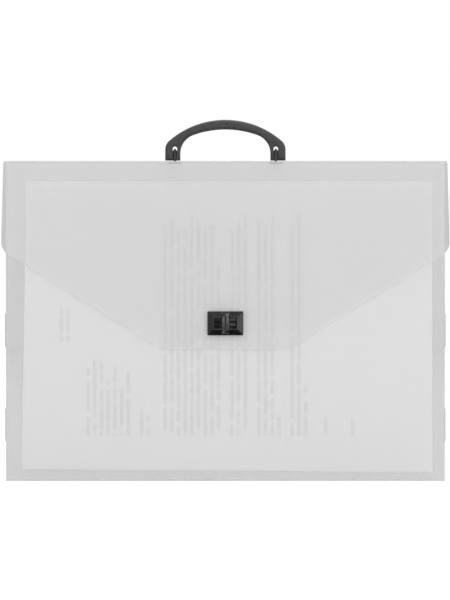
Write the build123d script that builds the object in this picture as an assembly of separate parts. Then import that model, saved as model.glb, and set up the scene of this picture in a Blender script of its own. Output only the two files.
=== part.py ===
"""Document carry case of folded polypropylene sheet, with a swinging handle and a pinch lock.

Sizes are in millimetres. X runs across the front, Y from the front to the back and Z up.
The origin is the centre of the face that the case stands on, and the front faces -Y.
"""
import os

from build123d import *

# Folded sheet of the case
sheet = 0.8
body_width = 449.0
body_height = 327.0
body_depth = 35.0
fold_radius = 0.6
lap_gap = 0.1
crease_gap = 0.1

# Tongues that lock each side's two wings together
inner_wing_reach = 23.0
tongue_centres = (57.3, 153.9)
tongue_height = 34.6
tongue_length = 8.0
tongue_corner = 3.0
slit_gap = 0.2

# Top panel and closing flap
lid_overhang = 2.4
flap_standoff = 1.2
flap_drop = 192.0
flare = 2.5
side_corner_drop = 91.2
side_corner_radius = 16.0
tip_half_width = 65.1
tip_corner_radius = 8.0
top_corner_radius = 3.0

# Handle
handle_width = 123.6
handle_rise = 43.0
handle_depth = 10.0
handle_edge_radius = 3.0
crown_radius = 88.0
shoulder_radius = 12.0
grip_height = 9.9
leg_width = 15.6
finger_gap_radius = 97.0
finger_gap_corner = 20.0
leg_gap = 1.2
gate_mark_radius = 1.1
gate_mark_depth = 0.3
gate_mark_drop = 4.5

# Fork at the foot of each leg, and the anchor that it swings on
fork_inset = 10.0
fork_slot_width = 4.7
fork_slot_rise = 6.6
pin_height = 9.1
pin_radius = 1.5
pin_grip = 4.0
pin_recess = 0.3
running_gap = 0.05
lug_side_gap = 0.1
lug_depth = 4.4
lug_shoulder = 2.0
lug_tip = 4.3
blade_width = 1.6
neck_width = 3.4
neck_rise = 1.4
anchor_slot_gap = 0.1
anchor_foot_length = 14.0
anchor_foot_depth = 16.0
anchor_foot_thickness = 1.2

# Lock bezel on the flap
lock_above_tip = 26.2
bezel_width = 36.6
bezel_height = 24.4
bezel_edge = 1.0
bezel_rise = 5.0
bezel_corner = 0.8
bevel_width = 5.95
bevel_land = 0.4
bezel_stud_radius = 1.1
clamp_margin = 1.0
clamp_thickness = 1.0

# Catch on the front panel, with a sloped post at each end of the pinch tabs
catch_thickness = 2.4
catch_reach = 20.0
end_post_height = 2.8
end_post_drop = 1.8
catch_gap = 0.6
pocket_gap = 0.5
catch_corner = 1.0
catch_stud_radius = 1.2
catch_stud_inset = 2.6
stud_head_radius = 2.0
stud_head_thickness = 0.5
stud_gap = 0.1
backing_thickness = 1.0

# Pinch tabs of the catch
tab_slit = 1.0
fin_width = 3.4
fin_rise = 4.7
fin_side_gap = 0.5
fin_end_gap = 0.5
fin_edge_radius = 0.3
fin_shoulder_radius = 1.2
end_post_gap = 0.2
barb_proud = 0.3
barb_height = 2.4
barb_depth = 1.0
tab_root_radius = 1.0
tab_root_depth = 0.5
tab_root_offset = 2.3
tab_root_gap = 0.08
tab_lift = 0.2
pad_gap = 0.8
pad_thickness = 1.2
pad_rib_spacing = 5.1
pad_rib_width = 0.7
pad_rib_height = 0.8

# Loose paper sheet that stands behind the front panel, a little askew, and narrower at its top,
# as a sheet that leans back looks from the front
paper_width = 420.0
paper_height = 297.0
paper_thickness = 0.3
paper_offset = 1.8
paper_lift = 10.6
paper_turn = 0.42
paper_taper = 2.5
paper_left_drop = 3.0

# Faces and axes that several pieces share
front_face = -body_depth / 2
back_face = body_depth / 2
front_inner = front_face + sheet
back_inner = back_face - sheet
side_face = body_width / 2
lid_inner = body_height - sheet
wall_top = lid_inner - crease_gap
flap_inner = front_face - flap_standoff
flap_outer = flap_inner - sheet
lid_half_width = side_face + lid_overhang
crease_height = body_height - sheet / 2
rear_crease = back_face - sheet / 2
front_crease = flap_outer + sheet / 2
finger_gap_width = handle_width - 2 * leg_width
fork_spacing = handle_width - 2 * fork_inset
lug_width = fork_slot_width - 2 * lug_side_gap
pin_axis_height = body_height + pin_height
flap_tip = body_height - flap_drop
lock_height = flap_tip + lock_above_tip
catch_front = front_face - catch_thickness
bezel_front = flap_outer - bezel_rise
window_width = bezel_width - 2 * (bevel_width + bevel_land)
window_height = bezel_height - 2 * (bevel_width + bevel_land)
catch_width = window_width
catch_height = catch_reach + 2 * stud_gap
flap_hole_width = catch_width + 2 * catch_gap
flap_hole_height = catch_height + 2 * catch_gap
tab_root_y = catch_front + tab_root_depth
tab_underside = catch_front - tab_lift
fin_front = tab_underside - fin_rise
fin_half_height = catch_reach / 2 - end_post_height - end_post_gap


def block(x0, x1, y0, y1, z0, z1):
    """Box between two opposite corners."""
    return Pos((x0 + x1) / 2, (y0 + y1) / 2, (z0 + z1) / 2) * Box(x1 - x0, y1 - y0, z1 - z0)


def plate(outline, y_front, y_back):
    """Flat plate whose outline is drawn in X and Z."""
    return extrude(Plane.XZ.offset(-y_back) * outline, y_back - y_front)


def bar(outline, x0, x1):
    """Straight bar along X whose section is drawn in Y and Z."""
    return extrude(Plane.YZ.offset(x0) * outline, x1 - x0)


def polygon(*points):
    """Face inside a closed run of straight lines."""
    return make_face(Polyline(*points, close=True))


def both_sides(x, z):
    """Four places that mirror one place about the centre of the lock."""
    return [(sx * x, lock_height + sz * z) for sx in (-1, 1) for sz in (-1, 1)]


def at_lock(outline):
    """Moves a face drawn about its own centre to the centre of the lock."""
    return Pos(0, lock_height) * outline


catch_studs = both_sides(catch_width / 2 - catch_stud_inset, catch_height / 2 - catch_stud_inset)
bezel_stud_x = (bezel_width / 2 - clamp_margin + flap_hole_width / 2) / 2
bezel_studs = both_sides(bezel_stud_x, bezel_height / 4)


def round_bars(places, radius, y_front, y_back):
    """Round bars through a sheet or a plate, one at each place."""
    return [plate(Pos(x, z) * Circle(radius), y_front, y_back) for x, z in places]


def folded_panel(y_outer, y_inner):
    """Front or back panel, rounded where the sheet folds at its sides and its bottom."""
    panel = block(-side_face, side_face, min(y_outer, y_inner), max(y_outer, y_inner), 0, wall_top)
    outer = panel.faces().sort_by(Axis.Y)[0 if y_outer < y_inner else -1]
    folds = outer.edges().sort_by(Axis.Z)[:-1]
    return fillet(folds, fold_radius)


def front_panel():
    """Front panel, with holes for the studs of the catch."""
    panel = folded_panel(front_face, front_inner)
    return panel - round_bars(catch_studs, catch_stud_radius + stud_gap, front_face, front_inner)


def bottom_panel():
    """Bottom strip between the front and the back panel."""
    return block(-side_face, side_face, front_inner, back_inner, 0, sheet)


def outer_wing():
    """Left wing folded back from the front panel, with a slit for each tongue."""
    wing = block(-side_face, -side_face + sheet, front_inner, back_inner, sheet, wall_top)
    slit_front = back_inner - inner_wing_reach - slit_gap
    slit_back = back_inner - inner_wing_reach + sheet + slit_gap
    half = tongue_height / 2 + slit_gap
    for centre in tongue_centres:
        wing -= block(-side_face, -side_face + sheet, slit_front, slit_back, centre - half, centre + half)
    return wing


def tongue(centre):
    """One tongue, from the inner wing out through its slit and along the outer wing."""
    inner_x = -side_face + 2 * sheet + lap_gap
    outer_x = -side_face - sheet
    bend = back_inner - inner_wing_reach
    low = centre - tongue_height / 2
    high = centre + tongue_height / 2
    crossing = block(outer_x, inner_x, bend, bend + sheet, low, high)
    flat = block(outer_x, -side_face, bend - tongue_length, bend + sheet, low, high)
    ends = flat.edges().filter_by(Axis.X).group_by(Axis.Y)[0]
    return fillet(ends, min(tongue_corner, tongue_length / 2)) + crossing


def inner_wing():
    """Left wing folded forward from the back panel, inside the outer wing."""
    x_outer = -side_face + sheet + lap_gap
    bend = back_inner - inner_wing_reach
    wing = block(x_outer, x_outer + sheet, bend, back_inner, sheet, wall_top)
    for centre in tongue_centres:
        wing += tongue(centre)
    return wing


def top_panel():
    """Top panel, round at its rear crease, with a slot for each handle anchor."""
    edge = front_crease + sheet / 2 + crease_gap
    panel = block(-lid_half_width, lid_half_width, edge, rear_crease, lid_inner, body_height)
    panel += bar(Pos(rear_crease, crease_height) * Circle(sheet / 2), -lid_half_width, lid_half_width)
    half_x = lug_width / 2 + anchor_slot_gap
    half_y = lug_tip + anchor_slot_gap
    for x in (-fork_spacing / 2, fork_spacing / 2):
        panel -= block(x - half_x, x + half_x, -half_y, half_y, lid_inner, body_height)
    return panel


def flap_outline():
    """Outline of the closing flap: a short flare, rounded side corners and a flat tip."""
    side_z = body_height - side_corner_drop
    right = [(lid_half_width, crease_height), (lid_half_width + flare, side_z), (tip_half_width, flap_tip)]
    left = [(-x, z) for x, z in reversed(right)]
    outline = polygon(*right, *left)
    for z, radius in (
        (crease_height, top_corner_radius),
        (side_z, side_corner_radius),
        (flap_tip, tip_corner_radius),
    ):
        corners = [v for v in outline.vertices() if abs(v.Y - z) < crease_gap]
        outline = fillet(corners, radius)
    return outline


def closing_flap():
    """Flap that hangs from the front crease, with a window for the catch."""
    flap = plate(flap_outline(), flap_outer, flap_inner)
    crease_half = lid_half_width - top_corner_radius
    flap += bar(Pos(front_crease, crease_height) * Circle(sheet / 2), -crease_half, crease_half)
    flap -= plate(at_lock(Rectangle(flap_hole_width, flap_hole_height)), flap_outer, flap_inner)
    return flap - round_bars(bezel_studs, bezel_stud_radius + stud_gap, flap_outer, flap_inner)


def handle_outline():
    """Front outline of the handle: a crowned arch on two straight legs."""
    leg_foot = body_height + leg_gap
    crown = body_height + handle_rise
    gap_top = crown - grip_height
    arch = Pos(0, crown - crown_radius) * Circle(crown_radius)
    arch &= Pos(0, leg_foot + handle_rise) * Rectangle(handle_width, 2 * handle_rise)
    shoulders = arch.vertices().group_by(Axis.Y)[-1]
    arch = fillet(shoulders, shoulder_radius)
    gap = Pos(0, gap_top - finger_gap_radius) * Circle(finger_gap_radius)
    gap &= Pos(0, leg_foot + handle_rise) * Rectangle(finger_gap_width, 2 * handle_rise)
    gap = fillet(gap.vertices().group_by(Axis.Y)[-1], finger_gap_corner)
    return arch - gap


def pin_span():
    """Start and end of the right-hand pin along X, from its blind end to the finger gap."""
    outer_end = fork_spacing / 2 + fork_slot_width / 2 + pin_grip
    return finger_gap_width / 2 + pin_recess, outer_end


def handle_grip():
    """Moulded handle with a fork at each leg and a blind pin hole across it."""
    grip = plate(handle_outline(), -handle_depth / 2, handle_depth / 2)
    rims = grip.faces().filter_by(Axis.Y).edges()
    grip = fillet(rims, handle_edge_radius)
    slot_top = pin_axis_height + fork_slot_rise
    half = fork_slot_width / 2
    inner_end, outer_end = pin_span()
    for side in (-1, 1):
        x = side * fork_spacing / 2
        slot = Pos(x, slot_top - half) * Circle(half)
        slot += Pos(x, (body_height + slot_top - half) / 2) * Rectangle(
            fork_slot_width, slot_top - half - body_height
        )
        grip -= plate(slot, -handle_depth / 2, handle_depth / 2)
        start, end = sorted((side * (inner_end - pin_recess - handle_edge_radius), side * outer_end))
        grip -= bar(Pos(0, pin_axis_height) * Circle(pin_radius), start, end)
    mark_z = body_height + handle_rise - gate_mark_drop
    mark = Pos(0, mark_z) * Circle(gate_mark_radius)
    return grip - plate(mark, -handle_depth / 2, -handle_depth / 2 + gate_mark_depth)


def handle_pin(side):
    """Pin pressed into one fork from the side of the finger gap."""
    start, end = sorted(side * x for x in pin_span())
    return bar(Pos(0, pin_axis_height) * Circle(pin_radius), start, end)


def handle_anchor(side):
    """Anchor under and through the top panel: foot, neck, and a lug with a thin round blade."""
    x = side * fork_spacing / 2
    foot_bottom = lid_inner - anchor_foot_thickness
    lug_foot = body_height + neck_rise
    half = lug_width / 2
    house = polygon(
        (x - half, lug_foot),
        (x + half, lug_foot),
        (x + half, pin_axis_height + lug_shoulder),
        (x, pin_axis_height + lug_tip),
        (x - half, pin_axis_height + lug_shoulder),
    )
    round_top = Pos(0, pin_axis_height) * Circle(lug_tip)
    round_top += Pos(0, (foot_bottom + pin_axis_height) / 2) * Rectangle(
        2 * lug_tip, pin_axis_height - foot_bottom
    )
    lug = plate(house, -lug_depth / 2, lug_depth / 2) & bar(round_top, x - half, x + half)
    lug += bar(round_top, x - blade_width / 2, x + blade_width / 2)
    lug += block(x - neck_width / 2, x + neck_width / 2, -lug_depth / 2, lug_depth / 2, lid_inner, lug_foot)
    half_foot = anchor_foot_length / 2
    half_deep = anchor_foot_depth / 2
    lug += block(x - half_foot, x + half_foot, -half_deep, half_deep, foot_bottom, lid_inner)
    hole = bar(Pos(0, pin_axis_height) * Circle(pin_radius + running_gap), x - half, x + half)
    return lug - hole


def fin_slot(margin_x, margin_z):
    """Outline of the two fins and the end posts together, with a margin round it."""
    width = tab_slit + 2 * fin_width + 2 * margin_x
    return at_lock(Rectangle(width, catch_reach + 2 * margin_z))


def lock_bezel():
    """Bevelled frame on the flap, open for the finger pads and the fins, with four studs."""
    outer = at_lock(RectangleRounded(bezel_width, bezel_height, bezel_corner))
    frame = plate(outer, flap_outer - bezel_edge, flap_outer)
    low = Plane.XZ.offset(-flap_outer + bezel_edge) * at_lock(Rectangle(bezel_width, bezel_height))
    top_width = window_width + 2 * bevel_land
    top_height = window_height + 2 * bevel_land
    high = Plane.XZ.offset(-bezel_front) * at_lock(Rectangle(top_width, top_height))
    frame += loft([low, high], ruled=True) & plate(outer, bezel_front, flap_outer)
    frame -= plate(at_lock(Rectangle(window_width, window_height)), bezel_front, flap_outer)
    frame -= plate(fin_slot(fin_side_gap, fin_end_gap), bezel_front, flap_outer)
    pocket_front = min(catch_front, flap_outer) - pocket_gap
    frame -= plate(at_lock(Rectangle(flap_hole_width, flap_hole_height)), pocket_front, flap_outer)
    clamp_back = flap_inner + clamp_thickness
    for stud in round_bars(bezel_studs, bezel_stud_radius, flap_outer, clamp_back):
        frame += stud
    return frame


def bezel_clamp_plate():
    """Thin frame behind the flap that holds the studs of the bezel."""
    width = bezel_width - 2 * clamp_margin
    height = bezel_height - clamp_margin
    clamp_back = flap_inner + clamp_thickness
    frame = plate(at_lock(RectangleRounded(width, height, bezel_corner)), flap_inner, clamp_back)
    frame -= plate(at_lock(Rectangle(flap_hole_width, flap_hole_height)), flap_inner, clamp_back)
    return frame - round_bars(bezel_studs, bezel_stud_radius, flap_inner, clamp_back)


def end_post(end):
    """Sloped post at the upper or the lower end of the pinch tabs."""
    outer_z = lock_height + end * catch_reach / 2
    inner_z = lock_height + end * (catch_reach / 2 - end_post_height)
    side_view = polygon(
        (catch_front, inner_z),
        (fin_front, inner_z),
        (fin_front + end_post_drop, outer_z),
        (catch_front, outer_z),
    )
    half = tab_slit / 2 + fin_width
    return bar(side_view, -half, half)


def catch_base():
    """Catch body on the front panel, grooved for the tab roots, with end posts and four headed studs."""
    backing_back = front_inner + backing_thickness
    base = plate(at_lock(RectangleRounded(catch_width, catch_height, catch_corner)), catch_front, front_face)
    for side in (-1, 1):
        groove = Pos(side * tab_root_offset, tab_root_y) * Circle(tab_root_radius + tab_root_gap)
        low = lock_height - catch_height / 2
        base -= extrude(Plane.XY.offset(low) * groove, catch_height)
    for end in (-1, 1):
        base += end_post(end)
    for stud in round_bars(catch_studs, catch_stud_radius, front_face, backing_back):
        base += stud
    for head in round_bars(catch_studs, stud_head_radius, backing_back, backing_back + stud_head_thickness):
        base += head
    return base


def catch_backing_plate():
    """Plate inside the front panel that spreads the pull of the catch."""
    backing_back = front_inner + backing_thickness
    outline = at_lock(RectangleRounded(catch_width, catch_height, catch_corner))
    backing = plate(outline, front_inner, backing_back)
    return backing - round_bars(catch_studs, catch_stud_radius + stud_gap, front_inner, backing_back)


def lock_tab():
    """Right pinch tab: a fin with two barbs, a ribbed finger pad, and a round root."""
    fin_inner = tab_slit / 2
    fin_outer = fin_inner + fin_width
    half = fin_half_height
    fin = block(fin_inner, fin_outer, fin_front, tab_underside, lock_height - half, lock_height + half)
    front_edges = fin.edges().filter_by(Axis.Z).group_by(Axis.Y)[0].sort_by(Axis.X)
    fin = fillet(front_edges[0], fin_edge_radius)
    shoulder = fin.edges().filter_by(Axis.Z).group_by(Axis.Y)[0].sort_by(Axis.X)[-1]
    fin = fillet(shoulder, fin_shoulder_radius)
    pad_outer = window_width / 2 - pad_gap
    pad_half = window_height / 2 - pad_gap
    pad_front = tab_underside - pad_thickness
    low = lock_height - pad_half
    high = lock_height + pad_half
    tab = fin + block(fin_outer - fin_width / 2, pad_outer, pad_front, tab_underside, low, high)
    for z in (lock_height - pad_rib_spacing / 2, lock_height + pad_rib_spacing / 2):
        half_rib = pad_rib_width / 2
        rib_front = pad_front - pad_rib_height
        tab += block(fin_outer - fin_width / 2, pad_outer, rib_front, pad_front, z - half_rib, z + half_rib)
    barb = [
        (fin_outer, tab_underside - barb_depth / 2),
        (fin_outer + barb_proud, tab_underside - barb_depth / 2),
        (fin_outer, tab_underside - barb_depth * 3 / 2),
    ]
    for z in (lock_height - half, lock_height + half - barb_height):
        tab += extrude(Plane.XY.offset(z) * polygon(*barb), barb_height)
    root = Pos(tab_root_offset, tab_root_y) * Circle(tab_root_radius)
    return tab + extrude(Plane.XY.offset(lock_height - half) * root, 2 * half)


def insert_sheet():
    """Paper sheet against the studs behind the front panel."""
    near = front_inner + backing_thickness + stud_head_thickness
    half = paper_width / 2
    outline = polygon(
        (-half, 0),
        (half, 0),
        (half - paper_taper, paper_height),
        (paper_taper - half, paper_height - paper_left_drop),
    )
    placed = Pos(paper_offset, paper_lift) * Rot(0, 0, -paper_turn) * outline
    return plate(placed, near, near + paper_thickness)


pieces = {
    "front_panel": front_panel(),
    "back_panel": folded_panel(back_face, back_inner),
    "bottom_panel": bottom_panel(),
    "outer_wing_left": outer_wing(),
    "outer_wing_right": mirror(outer_wing(), about=Plane.YZ),
    "inner_wing_left": inner_wing(),
    "inner_wing_right": mirror(inner_wing(), about=Plane.YZ),
    "top_panel": top_panel(),
    "closing_flap": closing_flap(),
    "handle_grip": handle_grip(),
    "handle_pin_left": handle_pin(-1),
    "handle_pin_right": handle_pin(1),
    "handle_anchor_left": handle_anchor(-1),
    "handle_anchor_right": handle_anchor(1),
    "lock_bezel": lock_bezel(),
    "bezel_clamp_plate": bezel_clamp_plate(),
    "catch_base": catch_base(),
    "catch_backing_plate": catch_backing_plate(),
    "lock_tab_left": mirror(lock_tab(), about=Plane.YZ),
    "lock_tab_right": lock_tab(),
    "insert_sheet": insert_sheet(),
}

os.makedirs("parts", exist_ok=True)
for name, piece in pieces.items():
    export_step(piece, os.path.join("parts", name + ".step"))
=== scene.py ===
import math

import bmesh
import bpy
import numpy as np
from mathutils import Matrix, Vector


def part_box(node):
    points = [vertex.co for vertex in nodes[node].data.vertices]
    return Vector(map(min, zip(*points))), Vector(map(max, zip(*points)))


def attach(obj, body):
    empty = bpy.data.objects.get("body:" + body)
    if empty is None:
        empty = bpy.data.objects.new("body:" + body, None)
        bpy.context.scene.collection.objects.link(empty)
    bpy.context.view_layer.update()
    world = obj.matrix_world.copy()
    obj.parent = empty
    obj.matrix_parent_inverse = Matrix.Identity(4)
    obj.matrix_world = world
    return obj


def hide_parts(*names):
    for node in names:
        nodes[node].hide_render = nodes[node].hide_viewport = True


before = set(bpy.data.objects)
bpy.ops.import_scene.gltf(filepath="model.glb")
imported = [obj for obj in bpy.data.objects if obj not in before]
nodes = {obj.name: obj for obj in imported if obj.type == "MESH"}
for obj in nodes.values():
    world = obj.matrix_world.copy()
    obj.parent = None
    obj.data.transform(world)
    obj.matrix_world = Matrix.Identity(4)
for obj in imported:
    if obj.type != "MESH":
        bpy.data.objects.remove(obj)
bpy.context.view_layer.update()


# Front panel. It is the middle of one die-cut sheet of frosted polypropylene, 0.8 mm thick.
# Its sides and its bottom edge are scored and folded back, and each bottom corner has a small
# cut-out so that the folds don't meet. Four round holes take the studs of the catch.
front_low, front_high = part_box("front_panel")
sheet = front_high.y - front_low.y
half_width = front_high.x
wall_top = front_high.z
front_middle = front_low.y + sheet / 2
crease_radius = 0.001
crease_arc = math.pi / 2 * crease_radius
crease_gap = 0.00002
crease_steps = 6
score_depth = 0.3
score_width = 0.0006
side_line = half_width - sheet / 2 - crease_radius
bottom_line = sheet / 2 + crease_radius
sheet_edge = 0.00012
panel_grid = 0.028
stud_hole = 0.0013
stud_inset = 0.0026
catch_low, catch_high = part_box("catch_base")
lock_height = (catch_low.z + catch_high.z) / 2
catch_stud_x = catch_high.x - stud_inset
catch_stud_z = (catch_high.z - catch_low.z) / 2 - stud_inset
least_slant = 0.2
cloud_size = 0.07
handled_size = 0.03
frost_size = 0.0007
frost_depth = 0.00001


def rounded(corners, steps=6):
    """Closed outline through corners of (x, z, radius), with an arc where the radius isn't zero."""
    points = []
    for i, (x, z, radius) in enumerate(corners):
        here = Vector((x, z))
        back = (Vector(corners[i - 1][:2]) - here).normalized()
        ahead = (Vector(corners[(i + 1) % len(corners)][:2]) - here).normalized()
        if radius == 0:
            points.append((x, z))
            continue
        half = back.angle(ahead) / 2
        centre = here + (back + ahead).normalized() * radius / math.sin(half)
        start = here + back * radius / math.tan(half) - centre
        end = here + ahead * radius / math.tan(half) - centre
        first = math.atan2(start.y, start.x)
        turn = (math.atan2(end.y, end.x) - first + math.pi) % (2 * math.pi) - math.pi
        for k in range(steps + 1):
            angle = first + turn * k / steps
            points.append((centre.x + radius * math.cos(angle), centre.y + radius * math.sin(angle)))
    return points


def rectangle(x0, x1, z0, z1, radius=0.0):
    """Outline of a rectangle."""
    return rounded([(x0, z0, radius), (x1, z0, radius), (x1, z1, radius), (x0, z1, radius)])


def circle(x, z, radius, steps=20):
    """Outline of a round hole."""
    turns = [2 * math.pi * k / steps for k in range(steps)]
    return [(x + radius * math.cos(t), z + radius * math.sin(t)) for t in turns]


def drawn_in(loop, inset):
    """The outline moved inward by inset, or outward where inset is negative."""
    area = sum(a[0] * b[1] - b[0] * a[1] for a, b in zip(loop, loop[1:] + loop[:1]))
    inset = math.copysign(inset, inset * area)
    moved = []
    for i, point in enumerate(loop):
        here = Vector(point)
        before = (here - Vector(loop[i - 1])).normalized()
        after = (Vector(loop[(i + 1) % len(loop)]) - here).normalized()
        inward = Vector((-before.y - after.y, before.x + after.x)).normalized()
        reach = inset / max(inward.dot(Vector((-before.y, before.x))), least_slant)
        moved.append((point[0] + inward.x * reach, point[1] + inward.y * reach))
    return moved


def rim(thickness, edge, steps=3):
    """Section of a rounded rim, as pairs of depth and how far the outline draws in there."""
    turns = [math.pi / 2 * k / steps for k in range(steps + 1)]
    front = [(edge * (1 - math.sin(t)), edge * (1 - math.cos(t))) for t in reversed(turns)]
    back = [(thickness - depth, inset) for depth, inset in reversed(front)]
    return front + back


def cut_plate(outline, holes, thickness, edge, grid, creases=()):
    """Flat closed plate in X and Z from y 0 to its thickness, with rounded rims and cross lines."""
    bm = bmesh.new()
    caps = [[], []]
    for number, loop in enumerate([outline, *holes]):
        rings = []
        for depth, inset in rim(thickness, edge):
            moved = drawn_in(loop, inset if number == 0 else -inset)
            rings.append([bm.verts.new((x, depth, z)) for x, z in moved])
        for ring, following in zip(rings, rings[1:]):
            for i in range(len(ring)):
                bm.faces.new((ring[i - 1], ring[i], following[i], following[i - 1]))
        for cap, ring in zip(caps, (rings[0], rings[-1])):
            cap += [bm.edges.get((ring[i - 1], ring[i])) for i in range(len(ring))]
    for face in bm.faces:
        face.material_index = 1
    for cap in caps:
        bmesh.ops.triangle_fill(bm, use_beauty=True, use_dissolve=False, edges=cap)
    xs = [x for x, z in outline]
    zs = [z for x, z in outline]
    lines = list(creases)
    lines += [(0, x) for x in np.arange(min(xs) + grid / 2, max(xs), grid)]
    lines += [(2, z) for z in np.arange(min(zs) + grid / 2, max(zs), grid)]
    for axis, at in lines:
        point = [0, 0, 0]
        normal = [0, 0, 0]
        point[axis] = at
        normal[axis] = 1
        everything = bm.verts[:] + bm.edges[:] + bm.faces[:]
        bmesh.ops.bisect_plane(bm, geom=everything, dist=1e-7, plane_co=point, plane_no=normal)
    return bm


def made(bm, name, place=None, smooth_under=35):
    """Turns a bmesh into an object, with each point moved by place and sharp edges kept sharp."""
    if place:
        moved = place(np.array([v.co for v in bm.verts]))
        for vert, co in zip(bm.verts, moved):
            vert.co = co
    bmesh.ops.recalc_face_normals(bm, faces=bm.faces)
    for face in bm.faces:
        face.smooth = True
    for edge in bm.edges:
        kinds = {face.material_index for face in edge.link_faces}
        edge.smooth = len(kinds) == 1 and edge.calc_face_angle(0) < math.radians(smooth_under)
    mesh = bpy.data.meshes.new(name)
    bm.to_mesh(mesh)
    bm.free()
    piece = bpy.data.objects.new(name, mesh)
    bpy.context.scene.collection.objects.link(piece)
    return piece


def crease_lines(axis, line, outward):
    """Cross lines where a fold bends, and beside it where its score line is."""
    marks = [crease_arc * k / crease_steps for k in range(crease_steps + 1)]
    marks += [-score_width, -score_width / 2, crease_arc + score_width / 2, crease_arc + score_width]
    return [(axis, line + outward * mark) for mark in marks]


def fold(points, axis, line, outward):
    """Turns what lies past a crease line inward through a right angle, thinned by its score line."""
    past = (points[:, axis] - line) * outward
    rise = points[:, 1] - front_middle
    score = np.exp(-(((past - crease_arc / 2) / score_width) ** 2))
    rise = rise * (1 - score_depth * score * (np.abs(rise) < sheet))
    turn = np.clip(past / crease_radius, 0, math.pi / 2)
    reach = crease_radius - rise
    bent = points.copy()
    bent[:, 1] = front_middle + rise
    over = past > 0
    bent[over, axis] = (line + outward * reach * np.sin(turn))[over]
    straight = np.maximum(past - crease_arc, 0)
    bent[over, 1] = (front_middle + crease_radius - reach * np.cos(turn) + straight)[over]
    return bent


def textured(name, color, roughness, **sockets):
    """New material with plain values on its shader, and its object coordinates for textures."""
    material = bpy.data.materials.new(name)
    material.use_nodes = True
    shader = material.node_tree.nodes["Principled BSDF"]
    shader.inputs["Base Color"].default_value = (*color, 1)
    shader.inputs["Roughness"].default_value = roughness
    for socket, value in sockets.items():
        shader.inputs[socket.replace("_", " ")].default_value = value
    places = material.node_tree.nodes.new("ShaderNodeTexCoord")
    return material, shader, places.outputs["Object"]


def add(material, kind, links=(), **values):
    """Adds a node, sets its properties and its sockets by name, and links sockets into it."""
    node = material.node_tree.nodes.new(kind)
    for name, value in values.items():
        if hasattr(node, name):
            setattr(node, name, value)
        else:
            node.inputs[name.replace("_", " ")].default_value = value
    for name, source in dict(links).items():
        material.node_tree.links.new(source, node.inputs[name])
    return node


def noise(material, places, size, detail=2.0, stretch=(1, 1, 1)):
    """Cloudy grey noise whose spots are about that size, longer where stretch is over one."""
    scaled = add(material, "ShaderNodeMapping", {"Vector": places}, Scale=[1 / (size * s) for s in stretch])
    cloud = add(material, "ShaderNodeTexNoise", {"Vector": scaled.outputs[0]}, Scale=1.0, Detail=detail)
    return cloud.outputs["Fac"]


def ranged(material, source, low, high, start=0.3, stop=0.7):
    """Spreads what a grey texture does between start and stop from low to high."""
    spread = add(
        material, "ShaderNodeMapRange", {"Value": source},
        From_Min=start, From_Max=stop, To_Min=low, To_Max=high,
    )
    return spread.outputs[0]


def tint(material, shader, factor, first, second):
    """Colours a shader between two colours, each plain or a socket, by a grey texture."""
    mix = add(material, "ShaderNodeMix", {"Factor": factor}, data_type="RGBA")
    for socket, color in ((mix.inputs[6], first), (mix.inputs[7], second)):
        if isinstance(color, tuple):
            socket.default_value = (*color, 1)
        else:
            material.node_tree.links.new(color, socket)
    material.node_tree.links.new(mix.outputs[2], shader.inputs["Base Color"])


def grain(material, shader, height, depth):
    """Raises a surface by a grey texture, as deep as that in metres."""
    bump = add(material, "ShaderNodeBump", {"Height": height}, Strength=1.0, Distance=depth)
    material.node_tree.links.new(bump.outputs[0], shader.inputs["Normal"])


def frosted(name, light, dark, clear, low_roughness, high_roughness):
    """Frosted polypropylene: finely grained, a little cloudy, and clear enough to see through."""
    material, shader, places = textured(
        name, light, 0.4, Alpha=1 - clear, IOR=1.49, Specular_IOR_Level=0.7,
    )
    clouds = ranged(material, noise(material, places, cloud_size, 1.0), 0, 1, 0, 1)
    tint(material, shader, clouds, light, dark)
    handled = noise(material, places, handled_size, 1.0)
    roughness = ranged(material, handled, low_roughness, high_roughness, 0, 1)
    material.node_tree.links.new(roughness, shader.inputs["Roughness"])
    grain(material, shader, noise(material, places, frost_size), frost_depth)
    return material


frosted_sheet = frosted("frosted sheet", (0.9, 0.9, 0.9), (0.885, 0.885, 0.885), 0.78, 0.36, 0.44)
cut_edge = frosted("cut sheet edge", (0.94, 0.94, 0.94), (0.9, 0.9, 0.9), 0.75, 0.45, 0.55)
violet_edge = frosted("violet tongue edge", (0.5, 0.34, 0.5), (0.46, 0.31, 0.46), 0.45, 0.4, 0.5)


def sheet_piece(bm, name, body, node, place=None):
    """Finishes one part of the sheet and puts it in its CAD node's place."""
    piece = made(bm, name, place)
    piece.data.materials.append(frosted_sheet)
    piece.data.materials.append(cut_edge)
    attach(piece, body)
    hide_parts(node)
    return piece


def onto_front(points):
    """Puts a flat plate in the plane of the front panel."""
    return points + np.array((0, front_middle - sheet / 2, 0))


side_end = side_line + crease_arc / 2 - crease_gap
bottom_end = bottom_line - crease_arc / 2 + crease_gap
front_outline = [
    (-side_line, bottom_end), (side_line, bottom_end), (side_line, bottom_line), (side_end, bottom_line),
    (side_end, wall_top), (-side_end, wall_top), (-side_end, bottom_line), (-side_line, bottom_line),
]
catch_holes = [
    circle(sx * catch_stud_x, lock_height + sz * catch_stud_z, stud_hole)
    for sx in (-1, 1) for sz in (-1, 1)
]
front_creases = crease_lines(0, side_line, 1) + crease_lines(0, -side_line, -1)
front_creases += crease_lines(2, bottom_line, -1)
front_sheet = cut_plate(front_outline, catch_holes, sheet, sheet_edge, panel_grid, front_creases)


def folded_front(points):
    """Folds the margins of the front panel half way round their creases."""
    points = fold(onto_front(points), 0, side_line, 1)
    points = fold(points, 0, -side_line, -1)
    return fold(points, 2, bottom_line, -1)


sheet_piece(front_sheet, "front_sheet", "case", "front_panel", folded_front)


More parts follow.
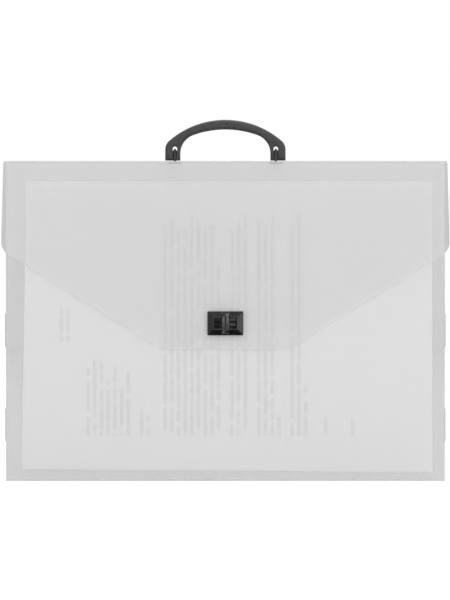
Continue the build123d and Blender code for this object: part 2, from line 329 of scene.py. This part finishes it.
# Bottom. The same sheet runs back under the case as a strip 35 mm wide, on two more folds.
# It stands on its outer face, and its ends lie open under the side wings.
back_low, back_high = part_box("back_panel")
bottom_flat = back_high.y - front_low.y - sheet - 2 * crease_radius
strip_front = bottom_line - crease_arc
back_line = strip_front - bottom_flat
strip_start = bottom_line - crease_arc / 2 - crease_gap
strip_end = back_line - crease_arc / 2 + crease_gap
bottom_creases = crease_lines(2, bottom_line, -1) + crease_lines(2, back_line, -1)


def into_case(points):
    """Folds the flat pattern up behind the front panel, the back first and then the bottom."""
    return fold(fold(points, 2, back_line, -1), 2, bottom_line, -1)


bottom_outline = [
    (-side_line, strip_end), (side_line, strip_end), (side_line, back_line), (half_width, back_line),
    (half_width, strip_front), (side_line, strip_front), (side_line, strip_start),
    (-side_line, strip_start), (-side_line, strip_front), (-half_width, strip_front),
    (-half_width, back_line), (-side_line, back_line),
]
bottom_sheet = cut_plate(bottom_outline, [], sheet, sheet_edge, panel_grid, bottom_creases)
sheet_piece(
    bottom_sheet, "bottom_strip", "case", "bottom_panel",
    lambda points: into_case(onto_front(points)),
)


# Back panel. It is the far end of the same sheet, folded up from the bottom strip.
# Its sides fold forward into the inner wings, and its top edge is the crease that the lid swings on.
inner_low, inner_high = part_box("inner_wing_right")
inner_middle = inner_high.x
for point in nodes["inner_wing_right"].data.vertices:
    if point.co.y > back_low.y - sheet:
        inner_middle = min(inner_middle, point.co.x)
inner_middle += sheet / 2
inner_line = inner_middle - crease_radius
inner_end = inner_line + crease_arc / 2 - crease_gap


def on_back(z):
    """Place on the flat pattern of a height on the back panel."""
    return back_line - crease_arc - (z - bottom_line)


back_start = back_line - crease_arc / 2 - crease_gap
back_outline = [
    (-inner_line, back_start), (inner_line, back_start), (inner_line, on_back(bottom_line)),
    (inner_end, on_back(bottom_line)), (inner_end, on_back(wall_top)), (-inner_end, on_back(wall_top)),
    (-inner_end, on_back(bottom_line)), (-inner_line, on_back(bottom_line)),
]
back_creases = crease_lines(0, inner_line, 1) + crease_lines(0, -inner_line, -1)
back_creases += crease_lines(2, back_line, -1)
back_sheet = cut_plate(back_outline, [], sheet, sheet_edge, panel_grid, back_creases)


def folded_back(points):
    """Folds the sides of the back panel half way, and then the panel up behind the front."""
    points = fold(onto_front(points), 0, inner_line, 1)
    return into_case(fold(points, 0, -inner_line, -1))


sheet_piece(back_sheet, "back_sheet", "case", "back_panel", folded_back)


# Outer wings. Each side of the front panel folds back into a wing that covers the side of the case.
# Two slits in it let the tongues of the inner wing through. They are cut with the sheet.
tongue_centres = (0.0573, 0.1539)
tongue_height = 0.0346
slit_play = 0.0004
slit_front = -0.0076
slit_back = -0.0046
slit_corner = 0.0006
foot_gap = 0.0002
rear_gap = 0.0001
wing_foot = sheet + foot_gap
wing_rear = back_high.y - rear_gap


def along_wing(y):
    """Place on the flat pattern of a depth on the outer wing."""
    return side_line + crease_arc + (y - front_middle - crease_radius)


for side, hand in ((-1, "left"), (1, "right")):
    wing_start = side_line + crease_arc / 2 + crease_gap
    xs = sorted((side * wing_start, side * along_wing(wing_rear)))
    slits = []
    for centre in tongue_centres:
        half = tongue_height / 2 + slit_play
        ends = sorted((side * along_wing(slit_front), side * along_wing(slit_back)))
        slits.append(rectangle(*ends, centre - half, centre + half, slit_corner))
    wing_sheet = cut_plate(
        rectangle(*xs, wing_foot, wall_top), slits, sheet, sheet_edge, panel_grid,
        crease_lines(0, side * side_line, side),
    )
    sheet_piece(
        wing_sheet, "side_wing_" + hand, "case", "outer_wing_" + hand,
        lambda points, side=side: fold(onto_front(points), 0, side * side_line, side),
    )


# Inner wings. Each side of the back panel folds forward inside the outer wing, 23 mm deep. Two
# tongues on its free edge step out through the slits and lie on the outer wing, so the side holds.
# Their cut edges have a violet tint.
tongue_corner = 0.003
tongue_root = 0.0008
tongue_step = inner_high.x - sheet / 2 - inner_middle
step_length = 0.0024
step_parts = 8
step_centre = (slit_front + slit_back) / 2
inner_depth = 0.023
inner_free = back_low.y - inner_depth
tongue_tip = inner_low.y


def along_inner(y):
    """Place on the flat pattern of a depth on the inner wing."""
    return inner_line + crease_arc + (back_high.y - sheet / 2 - crease_radius - y)


def stepped(points, side):
    """Moves the tongues out through their slits, on a soft step."""
    depth = back_high.y - sheet / 2 - (points[:, 1] - front_middle)
    share = np.clip((step_centre + step_length / 2 - depth) / step_length, 0, 1)
    points[:, 0] += side * tongue_step * share * share * (3 - 2 * share)
    return points


def folded_inner(points, side):
    """Folds an inner wing forward, steps its tongues out, and folds it up with the back."""
    points = fold(onto_front(points), 0, side * inner_line, side)
    return into_case(stepped(points, side))


inner_start = inner_line + crease_arc / 2 + crease_gap
inner_edge = along_inner(inner_free)
inner_corners = [(inner_start, on_back(wing_foot), 0), (inner_edge, on_back(wing_foot), 0)]
for centre in tongue_centres:
    for end, order in ((-1, 1), (1, -1)):
        z = on_back(centre + end * tongue_height / 2)
        root_and_tip = [(inner_edge, z, tongue_root), (along_inner(tongue_tip), z, tongue_corner)]
        inner_corners += root_and_tip[::order]
inner_corners += [(inner_edge, on_back(wall_top), 0), (inner_start, on_back(wall_top), 0)]

for side, hand in ((-1, "left"), (1, "right")):
    inner_lines = crease_lines(0, side * inner_line, side)
    for k in range(step_parts + 1):
        step_place = step_centre + step_length * (k / step_parts - 0.5)
        inner_lines.append((0, side * along_inner(step_place)))
    inner_outline = rounded([(side * x, z, radius) for x, z, radius in inner_corners])
    inner_sheet = cut_plate(inner_outline, [], sheet, sheet_edge, panel_grid, inner_lines)
    inner_flap = sheet_piece(
        inner_sheet, "inner_flap_" + hand, "case", "inner_wing_" + hand,
        lambda points, side=side: folded_inner(points, side),
    )
    inner_flap.data.materials.append(violet_edge)
    for face in inner_flap.data.polygons:
        if face.material_index == 1 and abs(face.center.x) > half_width and face.center.y < slit_front:
            face.material_index = 2


# Letter. One loose sheet of white paper stands behind the front panel, turned on its side. Its
# print is only rows of grey dashes, in blocks as on any letter, so nothing on it can be read.
# A block gives its first and last row, its low and high end, and how raggedly its rows end.
paper_low, paper_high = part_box("insert_sheet")
paper_points = [(v.co.x, v.co.z) for v in nodes["insert_sheet"].data.vertices]
paper_edge = 0.00003
paper_grid = 0.05
print_pitch = 0.006847
first_row = -0.0617
head_edge = -0.07
half_row = 0.5
block_margin = 0.1
stroke_core = 0.18
stroke_edge = 0.42
words_per_metre = 110.0
word_ends = (0.3, 0.4)
letters_per_metre = 620.0
letter_ends = (0.4, 0.6)
letter_gap = 0.6
row_change = 7.3
fibre_size = 0.0012
fibre_depth = 0.00003
paper_white = (0.93, 0.93, 0.93)
bright_fibre = (0.94, 0.94, 0.94)
dull_fibre = (0.92, 0.92, 0.92)
grey_ink = (0.79, 0.79, 0.795)
print_foot = 0.046
print_blocks = (
    (-15.5, -14.5, 0.142, 0.190, 0.4),
    (-11.5, -5.5, print_foot, 0.140, 0.7),
    (-3.5, -3.5, print_foot, 0.074, 0.0),
    (-2.5, -2.5, print_foot, 0.068, 0.0),
    (0, 7, print_foot, 0.274, 0.08),
    (8, 8, print_foot, 0.228, 0.0),
    (10, 12, print_foot, 0.275, 0.12),
    (14, 16, print_foot, 0.275, 0.08),
    (17, 17, print_foot, 0.066, 0.0),
    (19, 20, print_foot, 0.276, 0.06),
    (21, 21, print_foot, 0.096, 0.0),
    (24, 24, print_foot, 0.066, 0.0),
    (28, 28, print_foot, 0.074, 0.0),
)


def sums(material, operation, first, second):
    """One arithmetic step on two values, each a number or a socket."""
    node = add(material, "ShaderNodeMath", operation=operation)
    for socket, value in zip(node.inputs, (first, second)):
        if isinstance(value, (int, float)):
            socket.default_value = value
        else:
            material.node_tree.links.new(value, socket)
    return node.outputs[0]


def between(material, value, low, high):
    """One where a value lies between two others, and zero elsewhere."""
    above = sums(material, "GREATER_THAN", value, low)
    below = sums(material, "LESS_THAN", value, high)
    return sums(material, "MULTIPLY", above, below)


def printed_block(material, number, z, chance, block):
    """Mask of a block of rows that run up the sheet, each ending by chance within a share of it."""
    first, last, low, high, ragged = block
    cut = sums(material, "MULTIPLY", chance, ragged * (high - low))
    tall = between(material, z, low, sums(material, "SUBTRACT", high, cut))
    wide = between(material, number, first - block_margin, last + block_margin)
    return sums(material, "MULTIPLY", wide, tall)


def broken_up(material, ink, across, z, per_metre, gap, ends):
    """Breaks the rows of a mask into runs, with that much ink left in the gaps between them."""
    upward = sums(material, "MULTIPLY", z, per_metre)
    along = add(material, "ShaderNodeCombineXYZ", {"X": across, "Y": upward})
    run = add(material, "ShaderNodeTexNoise", {"Vector": along.outputs[0]}, Scale=1.0, Detail=0.0)
    share = ranged(material, run.outputs["Fac"], gap, 1, *ends)
    return sums(material, "MULTIPLY", ink, share)


def printed_rows(material, x, z):
    """Mask of all print: rows on one common grid, half a row aside in the letter's head."""
    head = sums(material, "MULTIPLY", sums(material, "LESS_THAN", x, head_edge), half_row)
    row = sums(material, "DIVIDE", sums(material, "SUBTRACT", x, first_row), print_pitch)
    shifted = sums(material, "ADD", sums(material, "ADD", row, head), half_row)
    number = sums(material, "SUBTRACT", sums(material, "FLOOR", shifted, 0), head)
    off_centre = sums(material, "ABSOLUTE", sums(material, "SUBTRACT", row, number), 0)
    stroke = ranged(material, off_centre, 1, 0, stroke_core, stroke_edge)
    dice = add(material, "ShaderNodeTexWhiteNoise", {"W": number}, noise_dimensions="1D")
    ink = 0
    for block in print_blocks:
        mask = printed_block(material, number, z, dice.outputs["Value"], block)
        ink = sums(material, "MAXIMUM", ink, mask)
    ink = sums(material, "MULTIPLY", ink, stroke)
    across = sums(material, "MULTIPLY", number, row_change)
    ink = broken_up(material, ink, across, z, words_per_metre, 0, word_ends)
    return broken_up(material, ink, across, z, letters_per_metre, letter_gap, letter_ends)


def letter_paper(name, with_print):
    """White uncoated paper with the fibres in its surface, and with the print in its colour or bare."""
    material, shader, places = textured(name, paper_white, 0.85)
    fibres = ranged(material, noise(material, places, fibre_size, 3.0, (1, 1, 3)), 0, 1)
    tint(material, shader, fibres, bright_fibre, dull_fibre)
    if with_print:
        pulp = shader.inputs["Base Color"].links[0].from_socket
        split = add(material, "ShaderNodeSeparateXYZ", {"Vector": places})
        ink = printed_rows(material, split.outputs[0], split.outputs[2])
        tint(material, shader, ink, pulp, grey_ink)
    grain(material, shader, fibres, fibre_depth)
    return material


paper_outline = [
    max(paper_points, key=lambda point: sx * point[0] + sz * point[1])
    for sx, sz in ((-1, -1), (1, -1), (1, 1), (-1, 1))
]
letter_sheet = cut_plate(paper_outline, [], paper_high.y - paper_low.y, paper_edge, paper_grid)
letter = made(letter_sheet, "letter_sheet", lambda points: points + np.array((0, paper_low.y, 0)))
letter.data.materials.append(letter_paper("printed side of the letter", True))
letter.data.materials.append(letter_paper("bare side of the letter", False))
for face in letter.data.polygons:
    face.material_index = 0 if face.normal.y < -0.5 else 1
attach(letter, "case")
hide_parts("insert_sheet")


# Catch. A moulded black body stands on the front panel, held from inside by a plate under the heads
# of four studs. Two grooves in it carry the round roots of the pinch tabs.
mould_edge = 0.00018
flat_under = 0.6
sharp_over = 30
shade_size = 0.006
polish_size = 0.003
# The frontmost 0.9 mm of the lock is painted grey: partly real wear, partly a painted highlight where light
# catches the proud fins and posts.
highlight_and_wear_depth = 0.0009
highlight_and_wear_size = 0.002
least_wear_and_highlight = 0.15
most_wear_and_highlight = 0.4
wear_and_highlight_grey = (0.21, 0.21, 0.215)
# Two painted glints: bright grey spots on the upper and lower end posts, where light catches them.
painted_glint_spots = ((0.0021, 0.0090), (-0.0018, -0.0096))
painted_glint_radius = 0.0024


def softened(node, name, material, body):
    """Copy of a CAD piece with its moulded edges rounded, put in the CAD piece's place."""
    bm = bmesh.new()
    bm.from_mesh(nodes[node].data)
    bmesh.ops.remove_doubles(bm, verts=bm.verts, dist=1e-6)
    flat = math.radians(flat_under)
    bmesh.ops.dissolve_limit(bm, angle_limit=flat, verts=bm.verts, edges=bm.edges)
    sharp = [e for e in bm.edges if e.is_manifold and e.calc_face_angle(0) > math.radians(sharp_over)]
    bmesh.ops.bevel(
        bm, geom=sharp, offset=mould_edge, offset_type="OFFSET", segments=2, profile=0.5,
        affect="EDGES", clamp_overlap=True, material=-1,
    )
    for face in bm.faces:
        face.material_index = 0
    piece = made(bm, name, smooth_under=40)
    piece.data.materials.append(material)
    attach(piece, body)
    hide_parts(node)
    return piece


def moulded(name, light, dark, low_roughness, high_roughness, grain_size, grain_depth, specular):
    """Moulded plastic with the fine spark-eroded grain of its tool and a few rubbed places."""
    material, shader, places = textured(name, light, 0.4, Specular_IOR_Level=specular)
    shades = ranged(material, noise(material, places, shade_size, 3.0), 0, 1)
    tint(material, shader, shades, light, dark)
    polished = noise(material, places, polish_size, 4.0)
    roughness = ranged(material, polished, low_roughness, high_roughness)
    material.node_tree.links.new(roughness, shader.inputs["Roughness"])
    grain(material, shader, noise(material, places, grain_size), grain_depth)
    return material


def black_with_wear_and_highlights():
    """Black plastic, greyed where the fins and posts of the lock stand out furthest, partly worn and partly
    a painted highlight, with two painted glints on the end posts.
    """
    material = moulded(
        "black lock plastic", (0.005, 0.005, 0.0055), (0.009, 0.009, 0.0095),
        0.24, 0.34, 0.0004, 0.00001, 0.5,
    )
    shader = material.node_tree.nodes["Principled BSDF"]
    places = material.node_tree.nodes["Texture Coordinate"].outputs["Object"]
    split = add(material, "ShaderNodeSeparateXYZ", {"Vector": places})
    # Grey on the proud fronts: partly wear, partly a painted highlight.
    proud_wear_and_highlight = ranged(material, split.outputs[1], 1, 0, catch_low.y, catch_low.y + highlight_and_wear_depth)
    patches = ranged(material, noise(material, places, highlight_and_wear_size), least_wear_and_highlight, most_wear_and_highlight)
    wear_and_highlight_mask = sums(material, "MULTIPLY", proud_wear_and_highlight, patches)
    # Painted glints: two round bright grey spots on the end posts.
    for x, z in painted_glint_spots:
        apart = add(material, "ShaderNodeVectorMath", {0: places}, operation="DISTANCE")
        apart.inputs[1].default_value = (x, catch_low.y, lock_height + z)
        glint_spot = ranged(material, apart.outputs["Value"], 1, 0, painted_glint_radius / 3, painted_glint_radius)
        wear_and_highlight_mask = sums(material, "MAXIMUM", wear_and_highlight_mask, glint_spot)
    plain_black = shader.inputs["Base Color"].links[0].from_socket
    tint(material, shader, wear_and_highlight_mask, plain_black, wear_and_highlight_grey)
    return material


lock_black = black_with_wear_and_highlights()
softened("catch_base", "catch_body", lock_black, "case")
softened("catch_backing_plate", "catch_backing", lock_black, "case")


# Pinch tabs. Two tall fins stand side by side in the middle of the lock, each with a ribbed pad
# for a finger and two barbs that hook the bezel. Each is one black moulding.
softened("lock_tab_left", "pinch_tab_left", lock_black, "left_tab")
softened("lock_tab_right", "pinch_tab_right", lock_black, "right_tab")


# Lid. The sheet goes on from the back panel over the top of the case, with a round crease at the
# back and at the front. Two slots let the handle's anchors through.
lid_low, lid_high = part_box("top_panel")
anchor_low, anchor_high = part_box("handle_anchor_right")
fork_x = (anchor_low.x + anchor_high.x) / 2
slot_half_width = 0.00235
slot_half_depth = 0.0044
round_edge = 0.49 * sheet
lid_slots = [
    rectangle(x - slot_half_width, x + slot_half_width, -slot_half_depth, slot_half_depth)
    for x in (-fork_x, fork_x)
]
lid_sheet = cut_plate(
    rectangle(lid_low.x, lid_high.x, lid_low.y, lid_high.y), lid_slots, sheet, round_edge, panel_grid,
)


def laid_on_top(points):
    """Turns a plate drawn in X and Z down onto the top of the case."""
    return np.column_stack((points[:, 0], points[:, 2], lid_high.z - points[:, 1]))


sheet_piece(lid_sheet, "lid_sheet", "lid", "top_panel", laid_on_top)


# Handle anchors. Each is one charcoal moulding: a foot under the lid, a neck through its slot,
# and a lug with a thin round blade that the handle's fork turns on.
handle_charcoal = moulded(
    "charcoal handle plastic", (0.049, 0.0485, 0.052), (0.06, 0.0595, 0.064),
    0.42, 0.56, 0.0006, 0.00002, 0.4,
)
for hand in ("left", "right"):
    softened("handle_anchor_" + hand, "anchor_" + hand, handle_charcoal, "lid")


# Handle pins. Two short pins of drawn steel are the axles that the handle swings on. Each is
# pressed into a fork from the side of the finger gap.
drawing_line = 0.0002
steel, steel_shader, steel_places = textured("drawn steel pin", (0.5, 0.5, 0.51), 0.3, Metallic=1.0)
drawn = noise(steel, steel_places, drawing_line, stretch=(20, 1, 1))
steel.node_tree.links.new(ranged(steel, drawn, 0.25, 0.42), steel_shader.inputs["Roughness"])
for hand in ("left", "right"):
    softened("handle_pin_" + hand, "fork_pin_" + hand, steel, "handle")


# Handle. One thick charcoal moulding, an arch on two forked legs, with rounded rims.
# A small round gate mark at its crown is left from the mould.
softened("handle_grip", "handle_arch", handle_charcoal, "handle")


# Closing flap. The sheet folds down over the front from the lid, flares a little, and narrows
# to a flat tip. A window in it takes the catch, and four small holes take the studs of the bezel.
flap_low, flap_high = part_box("closing_flap")
flap_flare = 0.0025
side_corner = (0.0912, 0.016)
tip_corner = (0.0651, 0.008)
crease_corner = 0.003
corner_steps = 12
flap_curl = 0.0006
flap_grid = 0.016
bezel_stud_hole = 0.0012
window_half_width = 0.01255
window_half_height = 0.0107
bezel_stud = (0.014925, 0.0061)
right_side = [
    (tip_corner[0], flap_low.z, tip_corner[1]),
    (lid_high.x + flap_flare, flap_high.z - side_corner[0], side_corner[1]),
    (lid_high.x, flap_high.z, crease_corner),
]
left_side = [(-x, z, radius) for x, z, radius in reversed(right_side)]
window_foot = lock_height - window_half_height
window_head = lock_height + window_half_height
flap_holes = [rectangle(-window_half_width, window_half_width, window_foot, window_head)]
flap_holes += [
    circle(sx * bezel_stud[0], lock_height + sz * bezel_stud[1], bezel_stud_hole)
    for sx in (-1, 1) for sz in (-1, 1)
]
flap_outline = rounded(right_side + left_side, corner_steps)
flap_sheet = cut_plate(flap_outline, flap_holes, sheet, round_edge, flap_grid)


def hung_flap(points):
    """Hangs the flap in front of the case, with its side corners standing off a little."""
    drop = np.clip((flap_high.z - points[:, 2]) / side_corner[0], 0, 1)
    curl = flap_curl * (points[:, 0] / flap_high.x) ** 2 * drop ** 2
    return np.column_stack((points[:, 0], points[:, 1] + flap_low.y - curl, points[:, 2]))


sheet_piece(flap_sheet, "flap_sheet", "flap", "closing_flap", hung_flap)


# Lock bezel. A black bevelled frame is fixed on the flap by four studs through a thin clamp
# plate behind it. The pinch tabs come up through its window when the flap is shut.
softened("lock_bezel", "bezel_frame", lock_black, "flap")
softened("bezel_clamp_plate", "bezel_clamp", lock_black, "flap")


# Studio. A plain pale floor, soft white light, and a long lens straight in front. Room and floor
# are white to look at and dimmer through the sheet. The light that they cast on the case is least
# from the front and from below, and a little more from the right than from the left.
studio = bpy.context.scene
room_behind = 0.44
room_sides = 0.6
room_front = 0.1
room_left = 1.15
room_right = 1.35
room_below = 0.1
front_ends = (-0.85, -0.5)
below_ends = (-0.5, -0.1)
floor_light = 0.26
floor_through = 0.11
floor_glow = 0.8
floor_half = 12.0


def strength(material, light, through, direct, socket):
    """Sets a light strength as it falls on things, as seen through the sheet, and as seen directly."""
    path = add(material, "ShaderNodeLightPath")
    seen = add(material, "ShaderNodeMix", {"Factor": path.outputs["Is Camera Ray"]}, data_type="FLOAT")
    nothing_between = sums(material, "LESS_THAN", path.outputs["Transparent Depth"], 0.5)
    if isinstance(light, float):
        seen.inputs["A"].default_value = light
    else:
        material.node_tree.links.new(light, seen.inputs["A"])
    brighter = sums(material, "MULTIPLY", nothing_between, direct - through)
    to_eye = sums(material, "ADD", brighter, through)
    material.node_tree.links.new(to_eye, seen.inputs["B"])
    material.node_tree.links.new(seen.outputs[0], socket)


def room_shade(room):
    """How light the room is in each direction."""
    directions = add(room, "ShaderNodeTexCoord").outputs["Generated"]
    split = add(room, "ShaderNodeSeparateXYZ", {"Vector": directions})
    across, depth, height = split.outputs
    shade = ranged(room, depth, room_front, room_sides, *front_ends)
    shade = sums(room, "MULTIPLY", shade, ranged(room, across, room_left, room_right, -1, 1))
    return sums(room, "MULTIPLY", shade, ranged(room, height, room_below, 1, *below_ends))


world = bpy.data.worlds.new("white room")
studio.world = world
world.use_nodes = True
background = world.node_tree.nodes["Background"]
background.inputs["Color"].default_value = (1, 1, 1, 1)
strength(world, room_shade(world), room_behind, 1.0, background.inputs["Strength"])

floor_mesh = bpy.data.meshes.new("floor")
floor_corners = [
    (-floor_half, -floor_half, 0), (floor_half, -floor_half, 0),
    (floor_half, floor_half, 0), (-floor_half, floor_half, 0),
]
floor_mesh.from_pydata(floor_corners, [], [(0, 1, 2, 3)])
floor = bpy.data.objects.new("floor", floor_mesh)
studio.collection.objects.link(floor)
floor_material, floor_shader = textured("pale floor", (0.3, 0.3, 0.3), 0.9)[:2]
floor_shader.inputs["Emission Color"].default_value = (1, 1, 1, 1)
floor_socket = floor_shader.inputs["Emission Strength"]
strength(floor_material, floor_light, floor_through, floor_glow, floor_socket)
floor.data.materials.append(floor_material)
floor.visible_glossy = False


def soft_box(name, place, aim, width, height, power):
    """Rectangular soft light that faces a point."""
    light = bpy.data.lights.new(name, "AREA")
    light.shape = "RECTANGLE"
    light.size = width
    light.size_y = height
    light.energy = power
    lamp = bpy.data.objects.new(name, light)
    studio.collection.objects.link(lamp)
    lamp.location = place
    lamp.rotation_euler = (Vector(aim) - Vector(place)).to_track_quat("-Z", "Y").to_euler()


soft_box("key_light", (1.6, -12.0, 4.6), (0, 0, 0.2), 10.0, 10.0, 650)
soft_box("side_light", (9.2, -3.8, 0.4), (0, 0, 0.2), 5.0, 5.0, 110)
soft_box("top_light", (0.5, 1.8, 9.0), (0, 0, 0.3), 4.0, 4.0, 420)

view_height = 0.6132
view_distance = 4.0
view_centre = (-0.0004, flap_low.y, 0.1850)
lens = bpy.data.cameras.new("camera")
lens.sensor_width = 36.0
lens.lens = lens.sensor_width * view_distance / view_height
lens.clip_end = 100.0
camera = bpy.data.objects.new("camera", lens)
studio.collection.objects.link(camera)
camera.location = (view_centre[0], view_centre[1] - view_distance, view_centre[2])
camera.rotation_euler = (math.pi / 2, 0, 0)
studio.camera = camera
studio.view_settings.view_transform = "Standard"
studio.cycles.max_bounces = 24
studio.cycles.diffuse_bounces = 10
studio.cycles.transparent_max_bounces = 32
